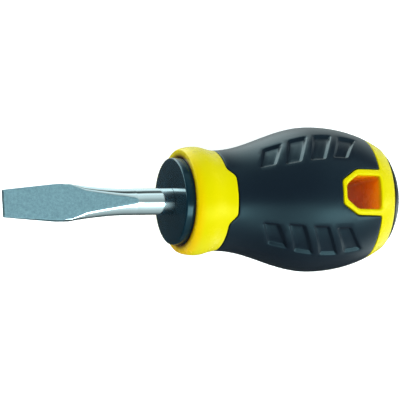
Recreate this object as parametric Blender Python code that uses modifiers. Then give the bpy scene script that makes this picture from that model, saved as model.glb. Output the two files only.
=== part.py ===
"""Stubby slotted screwdriver with a moulded three-colour handle.

The tool lies on its side: its axis is world X, with the blade tip at the origin
and the butt at +X. The hanging hole and the flats of the tip face +Z and -Z.
Lengths along the axis are measured from the tip.
"""

from math import asin, copysign, cos, pi, radians, sin, sqrt, tan

import bmesh
import bpy
from mathutils import Matrix, Vector

MM = 0.001

# Blade: a round bar, forged wide and ground flat at the tip, with a winged tang.
SHAFT_RADIUS = 3.25 * MM
TIP_HALF_WIDTH = 3.35 * MM
TIP_HALF_THICKNESS = 0.6 * MM
FLARE_HALF_WIDTH = 4.6 * MM
FLARE_FRONT = 13.8 * MM
FLARE_REAR = 17.0 * MM
NECK_END = 32.0 * MM
NECK_SHARPNESS = 1.7
SQUARE_UNTIL = 17.0 * MM
ROUND_FROM = 21.0 * MM
SQUARENESS = 3.0
FACET_END = 34.4 * MM
BLADE_EXPOSED = 43.9 * MM
TANG_LENGTH = 36.0 * MM
TANG_CHAMFER = 0.8 * MM
WING_LENGTH = 10.0 * MM
WING_SPAN = 11.0 * MM
WING_THICKNESS = 1.6 * MM
WING_SETBACK = 4.0 * MM

# Handle stations, each measured from the front face of the nose disc.
NOSE_THICKNESS = 2.8 * MM
COLLAR_FRONT = 2.3 * MM
LIP_AT = 6.0 * MM
COLLAR_REAR = 11.0 * MM
WAIST_AT = 11.3 * MM
TAB_REAR = 13.05 * MM
BELLY_AT = 36.0 * MM
FRAME_FRONT = 38.6 * MM
FRAME_SHOULDER = 42.9 * MM
RING_FRONT = 50.05 * MM
DOME_FRONT = 54.25 * MM
CAP_FRONT = 54.6 * MM
HANDLE_LENGTH = 58.8 * MM

# Handle radii.
NOSE_RADIUS = 10.65 * MM
NOSE_EDGE = 0.5 * MM
LIP_FRONT_RADIUS = 12.35 * MM
LIP_RADIUS = 13.3 * MM
WAIST_RADIUS = 12.3 * MM
BELLY_RADIUS = 17.7 * MM
REAR_REACH = 25.7 * MM
BUTT_FLAT_RADIUS = 3.0 * MM

# Walls, notches and the hanging hole.
GAP = 0.3 * MM
GRIP_WALL = 2.8 * MM
TAB_HALF_WIDTH = 4.9 * MM
TAB_ROOT_HALF_WIDTH = 6.9 * MM
FRAME_NOSE_HALF_WIDTH = 2.9 * MM
FRAME_HALF_WIDTH = 5.7 * MM
RIM_FRONT = 1.1 * MM
RIM_SIDE = 1.45 * MM
HOLE_REAR = 49.7 * MM
STEM_RADIUS = 5.0 * MM
STEM_LENGTH = 3.35 * MM

# Grip pads: shallow slanted recesses, in four rows around the handle.
PADS_PER_ROW = 4
PAD_ROW_ANGLES = [radians(42.2), radians(137.8), radians(222.2), radians(317.8)]
PAD_INNER_START = 19.4 * MM
PAD_INNER_PITCH = 6.0 * MM
PAD_INNER_LENGTH = 3.65 * MM
PAD_OUTER_START = 21.75 * MM
PAD_OUTER_PITCH = 6.4 * MM
PAD_OUTER_LENGTH = 4.45 * MM
PAD_WIDEST_HALF_ANGLE = radians(13.8)
PAD_NARROWING = radians(0.75)
PAD_WIDEST_INDEX = 1.6
PAD_DEPTH = 0.7 * MM

# How finely the solids are drawn.
SIDES = 32
HALF_STEP = pi / SIDES
LIP_STEPS = 6
NOSE_EDGE_STEPS = 4
NECK_STATIONS = 9
TAB_STATIONS = 5
GRIP_STATIONS = 22
ROD_STATIONS = 14
RING_STATIONS = 14
DOME_STEPS = 6

# Cutters reach this far out of the tool. Edges over SMOOTH_ANGLE stay sharp.
FAR = 40.0 * MM
SMOOTH_ANGLE = radians(35)
WELD = 0.001 * MM


def clear_scene():
    for item in list(bpy.data.objects):
        bpy.data.objects.remove(item, do_unlink=True)


def new_collection(name):
    collection = bpy.data.collections.new(name)
    bpy.context.scene.collection.children.link(collection)
    return collection


def new_material(name, colour, roughness, metallic=0.0):
    material = bpy.data.materials.new(name)
    material.use_nodes = True
    shader = material.node_tree.nodes["Principled BSDF"]
    shader.inputs["Base Color"].default_value = (*colour, 1.0)
    shader.inputs["Roughness"].default_value = roughness
    shader.inputs["Metallic"].default_value = metallic
    material.diffuse_color = (*colour, 1.0)
    return material


def from_nose(distance):
    """Distance from the blade tip of a station measured from the nose disc."""
    return BLADE_EXPOSED + distance


def place(name, mesh, collection, material=None):
    """Adds a part, or a cutter when it has no material."""
    item = bpy.data.objects.new(name, mesh)
    collection.objects.link(item)
    if material:
        mesh.materials.append(material)
    else:
        item.hide_render = True
        item.display_type = "WIRE"
    return item


def turned(name, outline, collection, material=None, closed=False):
    """Turns an outline of (radius, distance from the tip) points about the tool axis."""
    mesh = bpy.data.meshes.new(name)
    points = [(r * cos(HALF_STEP), r * sin(HALF_STEP), z) for r, z in outline]
    edges = [(i, i + 1) for i in range(len(points) - 1)]
    if closed:
        edges.append((len(points) - 1, 0))
    mesh.from_pydata(points, edges, [])
    item = place(name, mesh, collection, material)
    item.rotation_euler.y = pi / 2
    screw = item.modifiers.new("Turn", "SCREW")
    screw.steps = SIDES
    screw.render_steps = SIDES
    screw.use_merge_vertices = True
    screw.merge_threshold = WELD
    return item


def prism(name, outline, half_height, collection, turn=None):
    """A flat outline of (x, y) points, thickened both ways, as a mesh cutter."""
    curve = bpy.data.curves.new(name, "CURVE")
    curve.dimensions = "2D"
    curve.fill_mode = "BOTH"
    curve.extrude = half_height
    spline = curve.splines.new("POLY")
    spline.points.add(len(outline) - 1)
    for point, (x, y) in zip(spline.points, outline):
        point.co = (x, y, 0.0, 1.0)
    spline.use_cyclic_u = True
    drawing = bpy.data.objects.new(name + "_drawing", curve)
    collection.objects.link(drawing)
    bpy.context.view_layer.update()
    mesh = bpy.data.meshes.new_from_object(
        drawing.evaluated_get(bpy.context.evaluated_depsgraph_get())
    )
    bpy.data.objects.remove(drawing, do_unlink=True)
    shape = bmesh.new()
    shape.from_mesh(mesh)
    bmesh.ops.remove_doubles(shape, verts=shape.verts, dist=WELD)
    bmesh.ops.recalc_face_normals(shape, faces=shape.faces)
    shape.to_mesh(mesh)
    shape.free()
    item = place(name, mesh, collection)
    if turn:
        item.matrix_world = turn
    return item


def smooth_by_angle_nodes():
    """A node group that shades a piece smooth and keeps its edges over SMOOTH_ANGLE sharp."""
    group = bpy.data.node_groups.new("smooth_by_angle", "GeometryNodeTree")
    group.interface.new_socket("Geometry", in_out="INPUT", socket_type="NodeSocketGeometry")
    group.interface.new_socket("Geometry", in_out="OUTPUT", socket_type="NodeSocketGeometry")
    start = group.nodes.new("NodeGroupInput")
    end = group.nodes.new("NodeGroupOutput")
    angle = group.nodes.new("GeometryNodeInputMeshEdgeAngle")
    is_sharp = group.nodes.new("FunctionNodeCompare")
    is_sharp.data_type = "FLOAT"
    is_sharp.operation = "GREATER_THAN"
    is_sharp.inputs["B"].default_value = SMOOTH_ANGLE
    faces = group.nodes.new("GeometryNodeSetShadeSmooth")
    faces.domain = "FACE"
    edges = group.nodes.new("GeometryNodeSetShadeSmooth")
    edges.domain = "EDGE"
    edges.inputs["Shade Smooth"].default_value = False
    group.links.new(start.outputs["Geometry"], faces.inputs["Geometry"])
    group.links.new(faces.outputs["Geometry"], edges.inputs["Geometry"])
    group.links.new(angle.outputs["Unsigned Angle"], is_sharp.inputs["A"])
    group.links.new(is_sharp.outputs["Result"], edges.inputs["Selection"])
    group.links.new(edges.outputs["Geometry"], end.inputs["Geometry"])
    return group


def combine(item, operation, other):
    boolean = item.modifiers.new(f"{operation.title()} {other.name}", "BOOLEAN")
    boolean.operation = operation
    boolean.solver = "EXACT"
    boolean.object = other


def both_sides(outline):
    """Completes an outline drawn on the +Y side with its mirror image."""
    return outline + [(x, -y) for x, y in reversed(outline)]


def arc(centre, radius, start, end, steps):
    """Points of (radius, distance) on an arc; angle 0 points outwards, 90 degrees forwards."""
    turns = [start + (end - start) * i / steps for i in range(steps + 1)]
    return [(centre[0] + radius * cos(a), centre[1] - radius * sin(a)) for a in turns]


def stations(start, end, count):
    return [start + (end - start) * i / (count - 1) for i in range(count)]


def barrel_radius(at):
    """Outer radius of the handle behind its collar, from the distance to the nose disc."""
    if at <= WAIST_AT:
        return WAIST_RADIUS
    if at <= BELLY_AT:
        swell = (1 - cos(pi * (at - WAIST_AT) / (BELLY_AT - WAIST_AT))) / 2
        return WAIST_RADIUS + (BELLY_RADIUS - WAIST_RADIUS) * swell
    if at <= DOME_FRONT:
        return BELLY_RADIUS * sqrt(1 - ((at - BELLY_AT) / REAR_REACH) ** 2)
    dome, centre = butt_dome()
    return sqrt(dome**2 - (at - centre) ** 2)


def butt_dome():
    """Radius and centre of the sphere that rounds off the butt."""
    edge_radius = barrel_radius(DOME_FRONT)
    height = HANDLE_LENGTH - DOME_FRONT
    dome = (edge_radius**2 + height**2) / (2 * height)
    return dome, HANDLE_LENGTH - dome


def collar_radius(at):
    """Outer radius of the collar behind its lip, where it eases down to the barrel."""
    ease = (1 - cos(pi * (at - LIP_AT) / (COLLAR_REAR - LIP_AT))) / 2
    return LIP_RADIUS + (WAIST_RADIUS - LIP_RADIUS) * ease


def barrel_line(start, end, count, inset=0.0):
    """Outline of the barrel between two stations, running from the butt towards the tip."""
    return [(barrel_radius(at) - inset, from_nose(at)) for at in reversed(stations(start, end, count))]


def inner_line(start, end, count, inset):
    """The same line run from the tip towards the butt, for the inside of a sleeve."""
    return barrel_line(start, end, count, inset)[::-1]


def tab_outline(clearance):
    """Plan of the two collar tabs: narrow at the rear, with its root inside the collar."""
    slope = (TAB_ROOT_HALF_WIDTH - TAB_HALF_WIDTH) / (TAB_REAR - COLLAR_REAR)
    root = COLLAR_REAR - NOSE_THICKNESS
    root_half_width = TAB_ROOT_HALF_WIDTH + slope * NOSE_THICKNESS
    return both_sides(
        [
            (from_nose(root), root_half_width + clearance),
            (from_nose(TAB_REAR + clearance), TAB_HALF_WIDTH + clearance),
        ]
    )


def frame_outline(clearance, rear):
    """Plan of the window frames: pointed like a cut octagon at the front."""
    return both_sides(
        [
            (from_nose(FRAME_FRONT - clearance), FRAME_NOSE_HALF_WIDTH + clearance),
            (from_nose(FRAME_SHOULDER - clearance), FRAME_HALF_WIDTH + clearance),
            (from_nose(rear), FRAME_HALF_WIDTH + clearance),
        ]
    )


def blade_half_width(at):
    """Half the width of the blade across its flats, from the distance to its tip."""
    if at <= FLARE_FRONT:
        return TIP_HALF_WIDTH + (FLARE_HALF_WIDTH - TIP_HALF_WIDTH) * at / FLARE_FRONT
    if at >= NECK_END:
        return SHAFT_RADIUS
    left = min(1.0, (NECK_END - at) / (NECK_END - FLARE_REAR))
    return SHAFT_RADIUS + (FLARE_HALF_WIDTH - SHAFT_RADIUS) * left**NECK_SHARPNESS


def blade_section(at):
    """One section of the bar: nearly square-sided along the flare and round further back."""
    roundness = min(max((at - SQUARE_UNTIL) / (ROUND_FROM - SQUARE_UNTIL), 0.0), 1.0)
    power = 2 / (SQUARENESS + (2 - SQUARENESS) * roundness)
    corners = []
    for i in range(SIDES):
        across, upwards = cos(2 * HALF_STEP * (i + 0.5)), sin(2 * HALF_STEP * (i + 0.5))
        y = copysign(abs(across) ** power, across) * blade_half_width(at)
        z = copysign(abs(upwards) ** power, upwards) * SHAFT_RADIUS
        corners.append((at, y, z))
    return corners


def build_blade(parts, cutters, material):
    """Lofts the bar through oval sections, then grinds the two flats of the tip."""
    tang_end = from_nose(TANG_LENGTH)
    chamfer = (SHAFT_RADIUS - TANG_CHAMFER) / SHAFT_RADIUS
    sections = [blade_section(at) for at in (0.0, FLARE_FRONT, FLARE_REAR)]
    sections += [blade_section(at) for at in stations(FLARE_REAR, NECK_END, NECK_STATIONS)[1:]]
    sections.append(blade_section(tang_end - TANG_CHAMFER))
    sections.append([(x, y * chamfer, z * chamfer) for x, y, z in blade_section(tang_end)])
    shape = bmesh.new()
    rings = [[shape.verts.new(corner) for corner in section] for section in sections]
    for front, rear in zip(rings, rings[1:]):
        for i in range(SIDES):
            after = (i + 1) % SIDES
            shape.faces.new((front[i], front[after], rear[after], rear[i]))
    shape.faces.new(rings[0][::-1])
    shape.faces.new(rings[-1])
    bmesh.ops.recalc_face_normals(shape, faces=shape.faces)
    mesh = bpy.data.meshes.new("blade")
    shape.to_mesh(mesh)
    shape.free()
    blade = place("blade", mesh, parts, material)

    rise = (SHAFT_RADIUS - TIP_HALF_THICKNESS) / FACET_END
    waste = [
        (-FACET_END, TIP_HALF_THICKNESS - rise * FACET_END),
        (2 * FACET_END, TIP_HALF_THICKNESS + 2 * rise * FACET_END),
        (-FACET_END, FAR),
    ]
    for side, tilt in (("upper", pi / 2), ("lower", -pi / 2)):
        flat = prism(f"{side}_flat", waste, FAR, cutters, Matrix.Rotation(tilt, 4, "X"))
        combine(blade, "DIFFERENCE", flat)
    combine(blade, "UNION", wing_block("tang_wings", 0.0, cutters))


def wing_block(name, clearance, cutters):
    """The two wings swaged out of the tang, which stop it turning in the handle."""
    shape = bmesh.new()
    bmesh.ops.create_cube(shape, size=1.0)
    size = (WING_LENGTH, WING_SPAN, WING_THICKNESS)
    bmesh.ops.scale(shape, vec=[side + 2 * clearance for side in size], verts=shape.verts)
    mesh = bpy.data.meshes.new(name)
    shape.to_mesh(mesh)
    shape.free()
    block = place(name, mesh, cutters)
    block.location.x = from_nose(TANG_LENGTH - WING_SETBACK - WING_LENGTH / 2)
    return block


def build_core(parts, cutters, material):
    """The hard first moulding: nose disc, bored rod round the tang, and a forked rear."""
    rod_radius = WAIST_RADIUS - GRIP_WALL - GAP
    rear = RING_FRONT - GAP
    nose_centre = (NOSE_RADIUS - NOSE_EDGE, from_nose(NOSE_EDGE))
    nose = arc(nose_centre, NOSE_EDGE, 0.0, pi / 2, NOSE_EDGE_STEPS)
    outline = [(0.0, from_nose(rear))]
    outline += barrel_line(WAIST_AT, rear, ROD_STATIONS, GRIP_WALL + GAP)
    outline += [(rod_radius, from_nose(NOSE_THICKNESS)), (NOSE_RADIUS, from_nose(NOSE_THICKNESS))]
    outline += nose
    outline.append((0.0, from_nose(0.0)))
    core = turned("core", outline, parts, material)
    bore_end = from_nose(TANG_LENGTH + GAP)
    bore_radius = SHAFT_RADIUS + GAP
    bore_mouth = from_nose(-FAR)
    bore = [(0.0, bore_end), (bore_radius, bore_end), (bore_radius, bore_mouth), (0.0, bore_mouth)]
    combine(core, "DIFFERENCE", turned("tang_bore", bore, cutters))
    combine(core, "DIFFERENCE", wing_block("wing_slot", GAP, cutters))
    fork = prism("core_fork", frame_outline(GAP, RING_FRONT + GAP), FAR, cutters)
    combine(core, "DIFFERENCE", fork)


def build_front_collar(parts, cutters, material):
    """The flared ring behind the nose disc, with a tab reaching back over each face."""
    bore = WAIST_RADIUS - GRIP_WALL
    shoulder = NOSE_RADIUS + GAP
    outline = barrel_line(COLLAR_REAR, TAB_REAR, TAB_STATIONS)
    ease = stations(COLLAR_REAR, LIP_AT, LIP_STEPS + 1)[1:]
    outline += [(collar_radius(at), from_nose(at)) for at in ease]
    for i in range(1, LIP_STEPS + 1):
        turn = pi / 2 * i / LIP_STEPS
        radius = LIP_FRONT_RADIUS + (LIP_RADIUS - LIP_FRONT_RADIUS) * cos(turn)
        outline.append((radius, from_nose(LIP_AT - (LIP_AT - COLLAR_FRONT) * sin(turn))))
    outline += [
        (shoulder, from_nose(COLLAR_FRONT)),
        (shoulder, from_nose(NOSE_THICKNESS + GAP)),
        (bore, from_nose(NOSE_THICKNESS + GAP)),
        (bore, from_nose(TAB_REAR)),
    ]
    collar = turned("front_collar", outline, parts, material, closed=True)
    side = [
        (from_nose(COLLAR_REAR), TAB_ROOT_HALF_WIDTH),
        (from_nose(TAB_REAR), TAB_HALF_WIDTH),
        (from_nose(TAB_REAR + GRIP_WALL), TAB_HALF_WIDTH),
        (from_nose(TAB_REAR + GRIP_WALL), FAR),
        (from_nose(COLLAR_REAR), FAR),
    ]
    for name, sign in (("left", 1), ("right", -1)):
        outline = [(x, sign * y) for x, y in side][::sign]
        combine(collar, "DIFFERENCE", prism(f"{name}_of_tabs", outline, FAR, cutters))


def add_pad(shape, index, angle):
    """Adds one slanted block, standing radially where its pad is; its outer end leans rearwards."""
    inner = PAD_INNER_START + index * PAD_INNER_PITCH
    outer = PAD_OUTER_START + index * PAD_OUTER_PITCH
    middle = (inner + outer + PAD_OUTER_LENGTH) / 2
    narrowing = PAD_NARROWING * (index - PAD_WIDEST_INDEX) ** 2
    reach = barrel_radius(middle) * tan(PAD_WIDEST_HALF_ANGLE - narrowing)
    outward = 1 if tan(angle) > 0 else -1
    turn = Matrix.Rotation(-angle, 4, "X")
    for corner in bmesh.ops.create_cube(shape, size=2.0)["verts"]:
        x, y, z = corner.co
        start, length = (outer, PAD_OUTER_LENGTH) if y > 0 else (inner, PAD_INNER_LENGTH)
        height = FAR * (z + 1) / 2 + GRIP_WALL
        block = (from_nose(start + length * (x > 0)), outward * y * reach, height)
        corner.co = turn @ Vector(block)


def build_soft_grip(parts, cutters, material):
    """The soft sleeve: notched for the tabs and the frames, with recessed pads."""
    front = COLLAR_REAR + GAP
    rear = RING_FRONT - GAP
    outline = barrel_line(front, rear, GRIP_STATIONS) + inner_line(front, rear, ROD_STATIONS, GRIP_WALL)
    grip = turned("soft_grip", outline, parts, material, closed=True)

    shape = bmesh.new()
    for angle in PAD_ROW_ANGLES:
        for index in range(PADS_PER_ROW):
            add_pad(shape, index, angle)
    bmesh.ops.recalc_face_normals(shape, faces=shape.faces)
    mesh = bpy.data.meshes.new("pads")
    shape.to_mesh(mesh)
    shape.free()
    pads = place("pads", mesh, cutters)
    floor_line = [(0.0, from_nose(rear))] + barrel_line(front, rear, GRIP_STATIONS, PAD_DEPTH)
    floor_line.append((0.0, from_nose(front)))
    combine(pads, "DIFFERENCE", turned("pad_floor", floor_line, cutters))
    combine(grip, "DIFFERENCE", pads)

    combine(grip, "DIFFERENCE", prism("tab_notch", tab_outline(GAP), FAR, cutters))
    notch = prism("frame_notch", frame_outline(GAP, RING_FRONT + GAP), FAR, cutters)
    combine(grip, "DIFFERENCE", notch)


def build_rear_frame(parts, cutters, material):
    """The rear ring and the column between its two windows, pierced by the hanging hole."""
    pocket_radius = STEM_RADIUS + GAP
    pocket_front = CAP_FRONT - STEM_LENGTH - GAP
    outline = [
        (0.0, from_nose(pocket_front)),
        (pocket_radius, from_nose(pocket_front)),
        (pocket_radius, from_nose(CAP_FRONT)),
    ]
    outline.append((barrel_radius(CAP_FRONT), from_nose(CAP_FRONT)))
    outline += barrel_line(FRAME_FRONT, DOME_FRONT, RING_STATIONS)
    outline.append((0.0, from_nose(FRAME_FRONT)))
    frame = turned("rear_frame", outline, parts, material)
    waste = [
        (from_nose(FRAME_FRONT), FRAME_NOSE_HALF_WIDTH),
        (from_nose(FRAME_SHOULDER), FRAME_HALF_WIDTH),
        (from_nose(RING_FRONT), FRAME_HALF_WIDTH),
        (from_nose(RING_FRONT), FAR),
        (from_nose(BELLY_AT), FAR),
        (from_nose(BELLY_AT), FRAME_NOSE_HALF_WIDTH),
    ]
    for name, sign in (("left", 1), ("right", -1)):
        side = [(x, sign * y) for x, y in waste][::sign]
        combine(frame, "DIFFERENCE", prism(f"{name}_of_frames", side, FAR, cutters))
    hole = both_sides(
        [
            (from_nose(FRAME_FRONT + RIM_FRONT), FRAME_NOSE_HALF_WIDTH - RIM_FRONT),
            (from_nose(FRAME_SHOULDER), FRAME_HALF_WIDTH - RIM_SIDE),
            (from_nose(HOLE_REAR), FRAME_HALF_WIDTH - RIM_SIDE),
        ]
    )
    combine(frame, "DIFFERENCE", prism("hanging_hole", hole, FAR, cutters))


def build_end_cap(parts, material):
    """The black top of the domed butt, with a stem that plugs into the rear frame."""
    dome, centre = butt_dome()
    front = CAP_FRONT + GAP
    top = asin(BUTT_FLAT_RADIUS / dome)
    edge = asin(barrel_radius(front) / dome)
    crown = arc((0.0, from_nose(centre)), dome, top - pi / 2, edge - pi / 2, DOME_STEPS)
    outline = [(0.0, crown[0][1])] + crown
    outline += [
        (STEM_RADIUS, from_nose(front)),
        (STEM_RADIUS, from_nose(CAP_FRONT - STEM_LENGTH)),
        (0.0, from_nose(CAP_FRONT - STEM_LENGTH)),
    ]
    turned("end_cap", outline, parts, material)


def main():
    clear_scene()
    parts = new_collection("stubby_screwdriver")
    cutters = new_collection("cutters")
    steel = new_material("tool_steel", (0.55, 0.60, 0.62), 0.25, 1.0)
    gloss_black = new_material("gloss_black_plastic", (0.012, 0.02, 0.025), 0.15)
    yellow = new_material("yellow_plastic", (0.90, 0.80, 0.01), 0.3)
    soft_grey = new_material("soft_grey_grip", (0.018, 0.032, 0.045), 0.55)
    cap_black = new_material("cap_black_plastic", (0.012, 0.02, 0.025), 0.3)
    build_blade(parts, cutters, steel)
    build_core(parts, cutters, gloss_black)
    build_front_collar(parts, cutters, yellow)
    build_soft_grip(parts, cutters, soft_grey)
    build_rear_frame(parts, cutters, yellow)
    build_end_cap(parts, cap_black)
    shading = smooth_by_angle_nodes()
    for part in parts.objects:
        part.modifiers.new("Smooth by angle", "NODES").node_group = shading


main()
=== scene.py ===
"""Finished look of the stubby screwdriver: fine pieces for the CAD solids, floor, light and camera.

The tool's axis is world X, with the tip at the origin. Stations along the handle are measured
from the front face of the nose disc. The moulded skins are laid out flat, as (station, arc)
points, cut into triangles there, and then wrapped round the handle. A ring is a list of
(station, arc, depth) points, where the depth is measured from the handle's surface.
"""

from math import acos, asin, copysign, cos, hypot, pi, radians, sin, sqrt, tau

import bmesh
import bpy
import numpy as np
from mathutils import Matrix, Vector
from mathutils.geometry import delaunay_2d_cdt


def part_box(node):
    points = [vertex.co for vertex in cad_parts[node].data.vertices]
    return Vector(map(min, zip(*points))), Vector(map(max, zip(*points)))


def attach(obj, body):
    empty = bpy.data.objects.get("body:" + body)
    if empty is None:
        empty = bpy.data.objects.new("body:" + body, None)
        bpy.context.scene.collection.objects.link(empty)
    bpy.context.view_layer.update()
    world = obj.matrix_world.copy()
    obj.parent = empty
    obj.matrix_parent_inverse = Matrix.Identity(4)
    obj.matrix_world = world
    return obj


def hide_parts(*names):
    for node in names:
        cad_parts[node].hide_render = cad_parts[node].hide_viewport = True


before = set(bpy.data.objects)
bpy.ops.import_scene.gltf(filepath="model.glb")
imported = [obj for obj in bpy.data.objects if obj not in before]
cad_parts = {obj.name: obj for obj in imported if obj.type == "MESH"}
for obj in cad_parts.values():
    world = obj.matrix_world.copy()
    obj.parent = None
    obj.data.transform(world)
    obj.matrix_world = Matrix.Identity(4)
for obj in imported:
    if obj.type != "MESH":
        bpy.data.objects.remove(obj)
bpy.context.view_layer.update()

MM = 0.001

# ---------------------------------------------------------------- sizes read from the frame
# The CAD model's round pieces have flat sides, and gaps between them.
CAD_SIDES = 32
FLAT_TO_CORNER = cos(pi / CAD_SIDES)
CAD_GAP = 0.3 * MM
CORE_LOW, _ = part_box("core")
COLLAR_LOW, COLLAR_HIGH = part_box("front_collar")
GRIP_LOW, GRIP_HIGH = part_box("soft_grip")
FRAME_LOW, FRAME_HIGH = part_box("rear_frame")
_, BLADE_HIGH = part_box("blade")
_, CAP_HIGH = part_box("end_cap")

NOSE = CORE_LOW[0]
COLLAR_FRONT = COLLAR_LOW[0] - NOSE
TAB_REAR = COLLAR_HIGH[0] - NOSE
COLLAR_REAR = GRIP_LOW[0] - NOSE - CAD_GAP
RING_FRONT = GRIP_HIGH[0] - NOSE + CAD_GAP
FRAME_FRONT = FRAME_LOW[0] - NOSE
RING_REAR = FRAME_HIGH[0] - NOSE
BUTT = CAP_HIGH[0] - NOSE
TANG_END = BLADE_HIGH[0]
BELLY_RADIUS = GRIP_HIGH[1] / FLAT_TO_CORNER
LIP_RADIUS = COLLAR_HIGH[1] / FLAT_TO_CORNER
SHAFT_RADIUS = BLADE_HIGH[2] / FLAT_TO_CORNER

# ---------------------------------------------------------------- handle, as in the CAD model
WAIST_AT = 11.3 * MM
WAIST_RADIUS = 12.3 * MM
BELLY_AT = 36.0 * MM
REAR_REACH = 25.7 * MM
DOME_FRONT = 54.25 * MM
LIP_AT = 6.0 * MM
LIP_FRONT_RADIUS = 12.35 * MM
NOSE_RADIUS = 10.65 * MM
NOSE_THICKNESS = 2.8 * MM
GRIP_WALL = 2.8 * MM
TAB_HALF_WIDTH = 4.9 * MM
TAB_ROOT_HALF_WIDTH = 6.9 * MM
FRAME_SHOULDER = 42.9 * MM
FRAME_NOSE_HALF_WIDTH = 2.9 * MM
FRAME_HALF_WIDTH = 5.7 * MM
HOLE_REAR = 49.7 * MM
RIM_FRONT = 1.1 * MM
RIM_SIDE = 1.45 * MM
BUTT_FLAT_RADIUS = 3.0 * MM

PADS_PER_ROW = 4
PAD_ROW_ANGLE = radians(42.2)
PAD_INNER_START = 19.4 * MM
PAD_INNER_PITCH = 6.0 * MM
PAD_INNER_LENGTH = 3.65 * MM
PAD_OUTER_START = 21.75 * MM
PAD_OUTER_PITCH = 6.4 * MM
PAD_OUTER_LENGTH = 4.45 * MM
PAD_WIDEST_HALF_ANGLE = radians(13.8)
PAD_NARROWING = radians(0.75)
PAD_WIDEST_INDEX = 1.6
PAD_DEPTH = 0.7 * MM

# ---------------------------------------------------------------- blade, as in the CAD model
TIP_HALF_WIDTH = 3.35 * MM
TIP_HALF_THICKNESS = 0.6 * MM
FLARE_HALF_WIDTH = 4.6 * MM
FLARE_FRONT = 13.8 * MM
FLARE_REAR = 17.0 * MM
NECK_END = 32.0 * MM
NECK_SHARPNESS = 1.7
SQUARE_UNTIL = 17.0 * MM
ROUND_FROM = 21.0 * MM
SQUARENESS = 3.0
FACET_END = 34.4 * MM

# ---------------------------------------------------------------- edges, corners, pads and painted shade
# The blade's end is blasted matt all round, and further back only its ground flats are.
BLASTED_UNTIL = 15.4 * MM
TIP_EDGE = 0.08 * MM
NECK_EDGE = 0.42 * MM
NECK_EDGE_GROWS_OVER = 6.0 * MM

BORE_GAP = 0.03 * MM
BORE_EDGE = 0.08 * MM
NOSE_EDGE = 0.45 * MM
COLLAR_BORE_GAP = 0.1 * MM
HARD_EDGE = 0.3 * MM
SOFT_EDGE = 0.22 * MM
RING_EDGE = 0.9 * MM
HOLE_EDGE = 0.6 * MM
PARTING = 0.18 * MM

# Plans seen from above: how far each corner is cut back, and how far the line runs on beside it.
TAB_CORNER = 0.7 * MM
TAB_FLANK = 1.5 * MM
FRAME_CORNER = 0.8 * MM
FRAME_FLANK = 1.2 * MM
HOLE_CORNER = 0.9 * MM

# How far past the window frames the sheet inside the rear frame reaches.
INSIDE_SHEET_MARGIN = 0.9 * MM

# A pad's slope, as (millimetres inside its outline, share of its depth), and its corners.
PAD_PROFILE = [(-0.32, 0.0), (-0.22, 0.06), (-0.12, 0.18), (0.33, 0.82), (0.43, 0.94), (0.55, 1.0)]
PAD_CORNER = 0.55 * MM
PAD_CORNER_SHRINKS = 1.1
PAD_CORNER_LEAST = 0.1 * MM

# The cap's front edge, as (distance behind its front, distance inside its rim), and its dimple.
CAP_EDGE = [(0.14 * MM, 0.0), (0.02 * MM, 0.2 * MM), (0.0, 0.4 * MM)]
CAP_SHOULDER = 0.35 * MM
DIMPLE_DEPTH = 0.15 * MM
DIMPLE_MARGIN = 0.35 * MM
DIMPLE_SLOPE = 0.15 * MM

# Painted shade on the yellow plastic: orange down the collar's front slope, more on its low
# side, and down the hole, and dark brown where the slope meets the nose disc.
SLOPE_SHADE_FROM = 1.0 * MM
SLOPE_SHADE_OVER = 2.4 * MM
SLOPE_SHADE = 0.06
SLOPE_SHADE_LOW_SIDE = 0.30
CORNER_SHADE_FROM = 0.3 * MM
CORNER_SHADE_OVER = 1.3 * MM
HOLE_SHADE_FROM = 0.1 * MM
HOLE_SHADE_OVER = 2.6 * MM

# ---------------------------------------------------------------- the flat layout
LAYOUT_RADIUS = 16.0 * MM
HALF_TURN = LAYOUT_RADIUS * pi
LAYOUT_LOW = -LAYOUT_RADIUS * pi / 2
LAYOUT_HIGH = LAYOUT_RADIUS * 3 * pi / 2

# ---------------------------------------------------------------- fineness of the meshes
RING_STEP = 0.5 * MM
FILL_STEP = 1.0 * MM
COARSE_STEP = 2.5 * MM
# The lattice's rows and its distance from the rings, as shares of its step.
ROW_SPACING = 0.866
CLEARANCE = 0.4
MARKS_AT_ONCE = 500
# The most of a side that the rounding of one of its corners takes up.
LONGEST_CUT = 0.45
CORNER_STEPS = 5
EDGE_STEPS = 3
RING_EDGE_STEPS = 6
HOLE_EDGE_STEPS = 5
NOSE_EDGE_STEPS = 6
LIP_STEPS = 12
LIP_WALL_ROWS = 6
HOLE_WALL_ROWS = 16
ROD_STATIONS = 12
DOME_STATIONS = 13
SIDES = 144
# The blade's stretches from the tip on, as (where it ends, sections in it), and its sections.
BLADE_STRETCHES = [(FLARE_FRONT, 9), (FLARE_REAR, 5), (FACET_END, 36), (NOSE, 6), (TANG_END, 10)]
GROUND_EDGE_STEPS = 6
FLAT_COLUMNS = 9
FLAT_MARGIN = 0.6
BLADE_SIDE_POINTS = 31
SMALL_TURN = radians(0.3)
GROUND_NORMAL = 0.99
WELD = 0.002 * MM
TINY = 1e-15
CUTTING_ACCURACY = 1e-6
SMOOTH_ANGLE = radians(35)
BLADE_END_ANGLE = radians(60)


# ================================================================ small helpers
def smooth_step(value):
    """Eases from 0 to 1 as the value does, and holds it outside."""
    value = min(max(value, 0.0), 1.0)
    return value * value * (3 - 2 * value)


def stations(start, end, count):
    """Evenly spaced numbers from start to end."""
    return [start + (end - start) * i / (count - 1) for i in range(count)]


def bend(start, corner, end, steps):
    """Points on the curve from start to end that rounds off a corner."""
    shares = [i / steps for i in range(steps + 1)]
    return [(1 - u) ** 2 * start + 2 * u * (1 - u) * corner + u * u * end for u in shares]


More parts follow.
